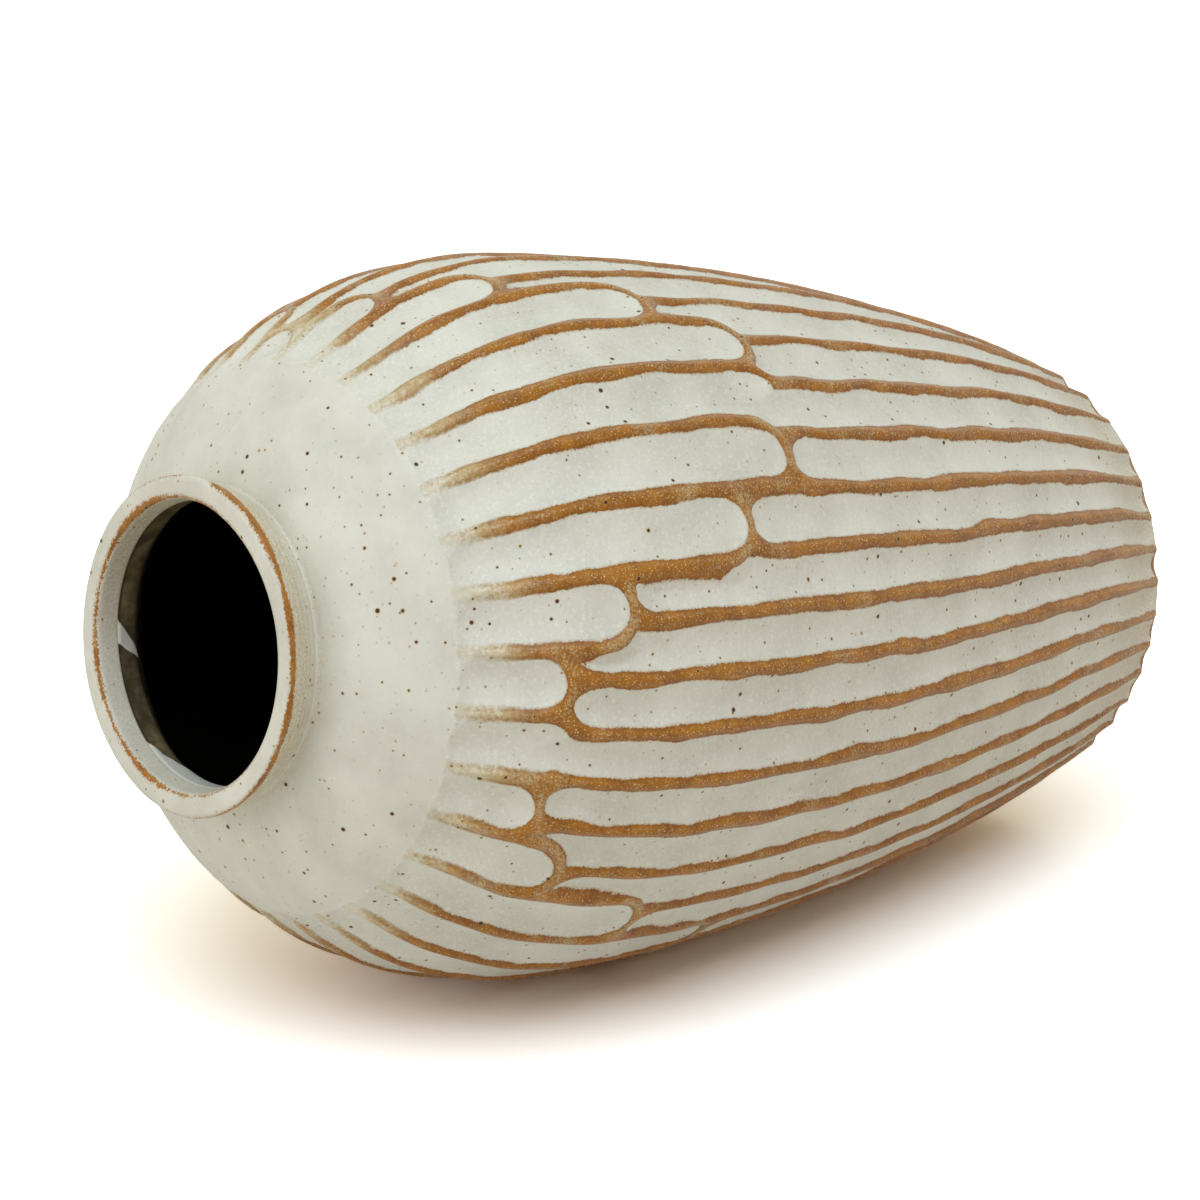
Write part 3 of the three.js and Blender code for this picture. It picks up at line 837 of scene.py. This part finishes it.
def seen_directly(node):
    """1 for rays that show the background, the camera's own and what gloss or glass turns, and
    1 for the camera's own alone."""
    camera = seen = node("LightPath", output="Is Camera Ray")
    for kind in ("Is Glossy Ray", "Is Transmission Ray"):
        seen = node("Math", (seen, camera.node.outputs[kind]), operation="MAXIMUM")
    return seen, camera


def matt_paper(node, stage):
    """Matt white paper sweep. The camera sees it a little overexposed, as in a product photo, so
    it is white with a brown shadow. From behind it is see-through to the camera alone."""
    fibres = node("TexCoord", output="Object")
    fibres = node("TexNoise", cells(fibres, FIBRES))
    bump = node("Bump", {"Height": fibres, "Distance": 0.05 * MM, "Strength": 0.3})
    seen, camera = seen_directly(node)
    colour = node("Mix", {0: seen, 6: stage.bounce, 7: stage.floor}, **COLOURS)
    sheet = node("BsdfDiffuse", {"Color": colour, "Normal": bump})
    extra = node("Mix", {0: camera, 6: (0, 0, 0, 1), 7: stage.overexposure}, **COLOURS)
    extra = node("BsdfDiffuse", {"Color": extra, "Normal": bump})
    sheet = node("AddShader", (sheet, extra))
    back = node("NewGeometry", output="Backfacing")
    gone = node("Math", (back, camera), **TIMES)
    clear = node("BsdfTransparent")
    return node("MixShader", (gone, sheet, clear))


def material_once(name, shade, settings, **options):
    """Material of that name, made the first time that it is asked for. Its nodes come from a
    function that adds them and gives the shader."""
    material = bpy.data.materials.get(name)
    if not material:
        material = bpy.data.materials.new(name)
        node = empty_tree(material)
        node("OutputMaterial", (shade(node, settings, **options),))
    return material


def body_glaze(glaze):
    return material_once("cream_glaze_over_iron_clay", cream_glaze, glaze, width=2.15,
                         ragged=1.0, grainy=1.1, rust_rim=0.5, snow=1.0, ripening=RIPENING)


def lip_glaze(glaze):
    """The body's glaze, thinner and smoother, over ochre that is all ripe."""
    return material_once("cream_glaze_on_lip", cream_glaze, glaze, width=LIP_LINE,
                         ragged=0.55, grainy=1.9, rust_rim=0.0, snow=0.35, ripening=(1.0, 0.9))


def poured_liner(glaze):
    return material_once("olive_liner_glaze", liner_glaze, glaze)


def bare_clay(glaze):
    return material_once("toasted_stoneware", toasted_clay, glaze)


def vase_of(scene):
    return Vase(scene.vase_form, scene.vase_carving)


def paint_faces(piece, material, faces):
    """Gives a piece a second material on some of its faces."""
    piece.data.materials.append(material)
    piece.data.polygons.foreach_set("material_index", np.array(faces, np.int32))


class VASE_OT_collar(bpy.types.Operator):
    """Thrown collar with its flat lip, its bore and the crease at the shoulder"""
    bl_idname = "vase.collar"
    bl_label = "Collar"

    def execute(self, context):
        scene = context.scene
        vase = vase_of(scene)
        s = rows_between(0, vase.crease, COLLAR_ROW)
        outside, marks = outer_grid(vase, s)
        # The lip's two corners are where the glaze runs thin here.
        corners = ((vase.lip_outer + OUTER_LINE_DROP, OUTER_LINE), (vase.lip_inner, INNER_LINE))
        marks["edge"] = np.min([
            np.abs(s[:, None] - middle) + LIP_LINE - np.interp(BEARINGS, *zip(*line), period=360)
            for middle, line in corners], axis=0)
        side = (smoothstep(s, vase.lip_outer, vase.lip_outer + HAZE_RUN)
                * smoothstep(s, vase.crease + HAZE_RUN, vase.lip_outer + HAZE_FADE))
        bore = smoothstep(s, vase.lip_inner, vase.lip_inner - HAZE_RUN)
        stained = np.interp(BEARINGS, *zip(*BORE_STAIN), period=360)
        marks["haze"] = side[:, None] + bore[:, None] * stained
        add_piece("glazed_collar", [outside], "neck_collar",
                  lip_glaze(scene.vase_glaze), marks)
        return {"FINISHED"}


def wall_piece(scene, name, node, level, step):
    """Section of the wall between a level and the next: its outside from the top down, then its
    inside from the bottom up."""
    vase = vase_of(scene)
    (start, inner_start), (end, inner_end) = vase.levels[level:level + 2]
    outside, marks = outer_grid(vase, rows_between(start, end, step))
    rows = rows_between(inner_start, inner_end, INNER_ROW)
    if inner_start == 0:
        throat = rows_between(0, THROAT_LENGTH, THROAT_ROW)
        rows = np.concatenate((throat, rows[rows > THROAT_LENGTH + 1]))
    inside, inner_marks = inner_grid(vase, rows[::-1])
    # Each side's marks say nothing of the other.
    marks = {mark: np.concatenate((values, np.full(inside[0].shape[:2], UNMARKED)))
             for mark, values in marks.items()}
    for mark, values in inner_marks.items():
        marks[mark] = np.concatenate((np.full(outside[0].shape[:2], UNMARKED), values))
    piece = add_piece(name, [outside, inside], node, body_glaze(scene.vase_glaze),
                      marks)
    outer_rows = outside[0].shape[0]
    within = np.arange(len(piece.data.polygons)) >= outer_rows * COLUMNS
    paint_faces(piece, poured_liner(scene.vase_glaze), within)
    return {"FINISHED"}


class VASE_OT_dome(bpy.types.Operator):
    """Smooth dome between the collar and the flutes, with the throat through it"""
    bl_idname = "vase.dome"
    bl_label = "Dome"

    def execute(self, context):
        return wall_piece(context.scene, "glazed_dome", "shoulder_dome", 0, DOME_ROW)


class VASE_OT_upper_wall(bpy.types.Operator):
    """Shoulder with the upper band of flutes"""
    bl_idname = "vase.upper_wall"
    bl_label = "Upper wall"

    def execute(self, context):
        return wall_piece(context.scene, "glazed_upper_wall", "upper_wall", 1, WALL_ROW)


class VASE_OT_lower_wall(bpy.types.Operator):
    """Flank with the lower band of flutes"""
    bl_idname = "vase.lower_wall"
    bl_label = "Lower wall"

    def execute(self, context):
        return wall_piece(context.scene, "glazed_lower_wall", "lower_wall", 2, WALL_ROW)


class VASE_OT_foot(bpy.types.Operator):
    """Foot ring, glazed outside and bare where it stands"""
    bl_idname = "vase.foot"
    bl_label = "Foot ring"

    def execute(self, context):
        scene = context.scene
        vase = vase_of(scene)
        s = rows_between(vase.foot_seam, vase.underside_end, FOOT_ROW)
        outside, marks = outer_grid(vase, s)
        inside, _ = inner_grid(vase, np.array([vase.floor_start]))
        piece = add_piece("foot_ring_glazed", [outside, inside], "foot_ring",
                          body_glaze(scene.vase_glaze), marks)
        bare = np.append(s, np.inf) > vase.ground - WIPED_EDGE
        paint_faces(piece, bare_clay(scene.vase_glaze), np.repeat(bare, COLUMNS))
        return {"FINISHED"}


class VASE_OT_floor(bpy.types.Operator):
    """Floor of the vase, dished inside and flat underneath"""
    bl_idname = "vase.floor_disc"
    bl_label = "Floor disc"

    def execute(self, context):
        scene = context.scene
        vase = vase_of(scene)
        rows = rows_between(vase.floor_start, vase.inner.at[-1] - AXIS_GAP, FLOOR_ROW)
        inside, marks = inner_grid(vase, rows[::-1])
        radius = rows_between(AXIS_GAP, FOOT_RADIUS - FOOT_RING_WIDTH, FLOOR_ROW)[::-1, None]
        flat = round_axis(BEARINGS, radius, FOOT_RECESS)
        underside = flat, np.broadcast_to((0.0, 0.0, -1.0), flat.shape)
        piece = add_piece("floor_disc_glazed", [inside, underside], "floor_disc",
                          poured_liner(scene.vase_glaze), marks, closed=False)
        faces_down = [face.normal.z < -0.5 for face in piece.data.polygons]
        paint_faces(piece, bare_clay(scene.vase_glaze), faces_down)
        return {"FINISHED"}


def add_light(name, kind, direction, **settings):
    """Light that comes from a direction, with its settings."""
    light = bpy.data.lights.new(name, kind)
    for key, value in settings.items():
        setattr(light, key, value)
    lamp = bpy.data.objects.new(name, light)
    lamp.rotation_euler = direction.to_track_quat("Z", "Y").to_euler()
    bpy.context.scene.collection.objects.link(lamp)
    return lamp


class VASE_OT_stage(bpy.types.Operator):
    """White floor, soft studio light and the camera"""
    bl_idname = "vase.stage"
    bl_label = "Stage"

    def execute(self, context):
        scene = context.scene
        stage = scene.vase_stage
        vase = vase_of(scene)
        axis_rise, bearing = stage.axis_rise, stage.touching_bearing
        # Upwards and the ground's level, as they are where the vase lies on its side
        side = Vector((math.cos(bearing), -math.sin(bearing), 0))
        up = (Vector((0, 0, math.sin(axis_rise))) - side * math.cos(axis_rise)).normalized()
        radius, z = vase.outer.point(vase.outer.at)
        drop = float(np.min(z * up.z - radius * math.cos(axis_rise)))

        camera_data = bpy.data.cameras.new("camera")
        camera_data.lens, camera_data.sensor_width = CAMERA_LENS, CAMERA_SENSOR
        camera_data.clip_start, camera_data.clip_end = CAMERA_CLIP
        camera = bpy.data.objects.new("camera", camera_data)
        right, above = Vector(CAMERA_RIGHT).normalized(), Vector(CAMERA_UP).normalized()
        camera.matrix_world = Matrix((right, above, right.cross(above))).transposed().to_4x4()
        camera.location = Vector(CAMERA_PLACE) * MM
        scene.collection.objects.link(camera)
        scene.camera = camera

        centre = Vector((0, 0, BELLY_HEIGHT * MM))
        below_centre = centre - up * (centre.dot(up) - drop * MM)
        across = (right - up * right.dot(up)).normalized()
        towards = across.cross(up).normalized()
        mesh = bpy.data.meshes.new("paper_floor")
        corners = [below_centre + across * x * FLOOR_HALF + towards * y * FLOOR_HALF
                   for x, y in ((-1, -1), (1, -1), (1, 1), (-1, 1))]
        mesh.from_pydata(corners, [], [(3, 2, 1, 0)])
        if mesh.polygons[0].normal.dot(up) < 0:
            mesh.flip_normals()
        mesh.materials.append(material_once("matt_paper", matt_paper, stage))
        floor = bpy.data.objects.new("paper_floor", mesh)
        scene.collection.objects.link(floor)

        add_light("overhead_light", "SUN", up + across * KEY_ACROSS + towards * KEY_TOWARDS,
                  energy=stage.key_strength, angle=stage.key_spread, color=stage.key_colour[:3])
        softbox = across * SOFTBOX_ACROSS + towards * SOFTBOX_TOWARDS + up * SOFTBOX_UP
        lamp = add_light("softbox_mouth_side", "AREA", softbox, shape="RECTANGLE",
                         size=SOFTBOX_SIZE[0], size_y=SOFTBOX_SIZE[1], energy=stage.side_power)
        lamp.location = centre + softbox

        world = bpy.data.worlds.new("white_room")
        node = empty_tree(world)
        seen, _ = seen_directly(node)
        height = node("TexCoord", output="Generated")
        height = node("VectorMath", (height, up), operation="DOT_PRODUCT", output="Value")
        height = node("MapRange", (height, *ROOM_FADE))
        room = node("Mix", {0: height, 6: stage.horizon, 7: stage.ceiling}, **COLOURS)
        room = node("Background", (room, stage.ambient))
        white = node("Background", ((1, 1, 1, 1), 1.0))
        shader = node("MixShader", (seen, room, white))
        node("OutputWorld", (shader,))
        scene.world = world
        scene.view_settings.view_transform = "Standard"
        return {"FINISHED"}


class VASE_PT_sidebar(bpy.types.Panel):
    """Settings of the vase, and its steps in order"""
    bl_idname = "VASE_PT_sidebar"
    bl_label = "Stoneware vase"
    bl_space_type = "VIEW_3D"
    bl_region_type = "UI"
    bl_category = "Vase"

    def draw(self, context):
        layout = self.layout
        for group in ("vase_form", "vase_carving", "vase_glaze", "vase_stage"):
            settings = getattr(context.scene, group)
            for key in settings.bl_rna.properties.keys():
                if key not in ("rna_type", "name"):
                    layout.prop(settings, key)
        for operator in OPERATORS:
            layout.operator(operator.bl_idname)


GROUPS = {"vase_form": VaseForm, "vase_carving": VaseCarving, "vase_glaze": VaseGlaze,
          "vase_stage": VaseStage}
OPERATORS = (VASE_OT_collar, VASE_OT_dome, VASE_OT_upper_wall, VASE_OT_lower_wall, VASE_OT_foot,
             VASE_OT_floor, VASE_OT_stage)


def register():
    for item in (*GROUPS.values(), *OPERATORS, VASE_PT_sidebar):
        bpy.utils.register_class(item)
    for key, group in GROUPS.items():
        setattr(bpy.types.Scene, key, bpy.props.PointerProperty(type=group))


def unregister():
    for key in GROUPS:
        delattr(bpy.types.Scene, key)
    for item in (VASE_PT_sidebar, *reversed(OPERATORS), *reversed(GROUPS.values())):
        bpy.utils.unregister_class(item)


def main():
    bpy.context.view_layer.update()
    register()
    for operator in OPERATORS:
        group, name = operator.bl_idname.split(".")
        getattr(getattr(bpy.ops, group), name)()


if __name__ == "__main__":
    main()
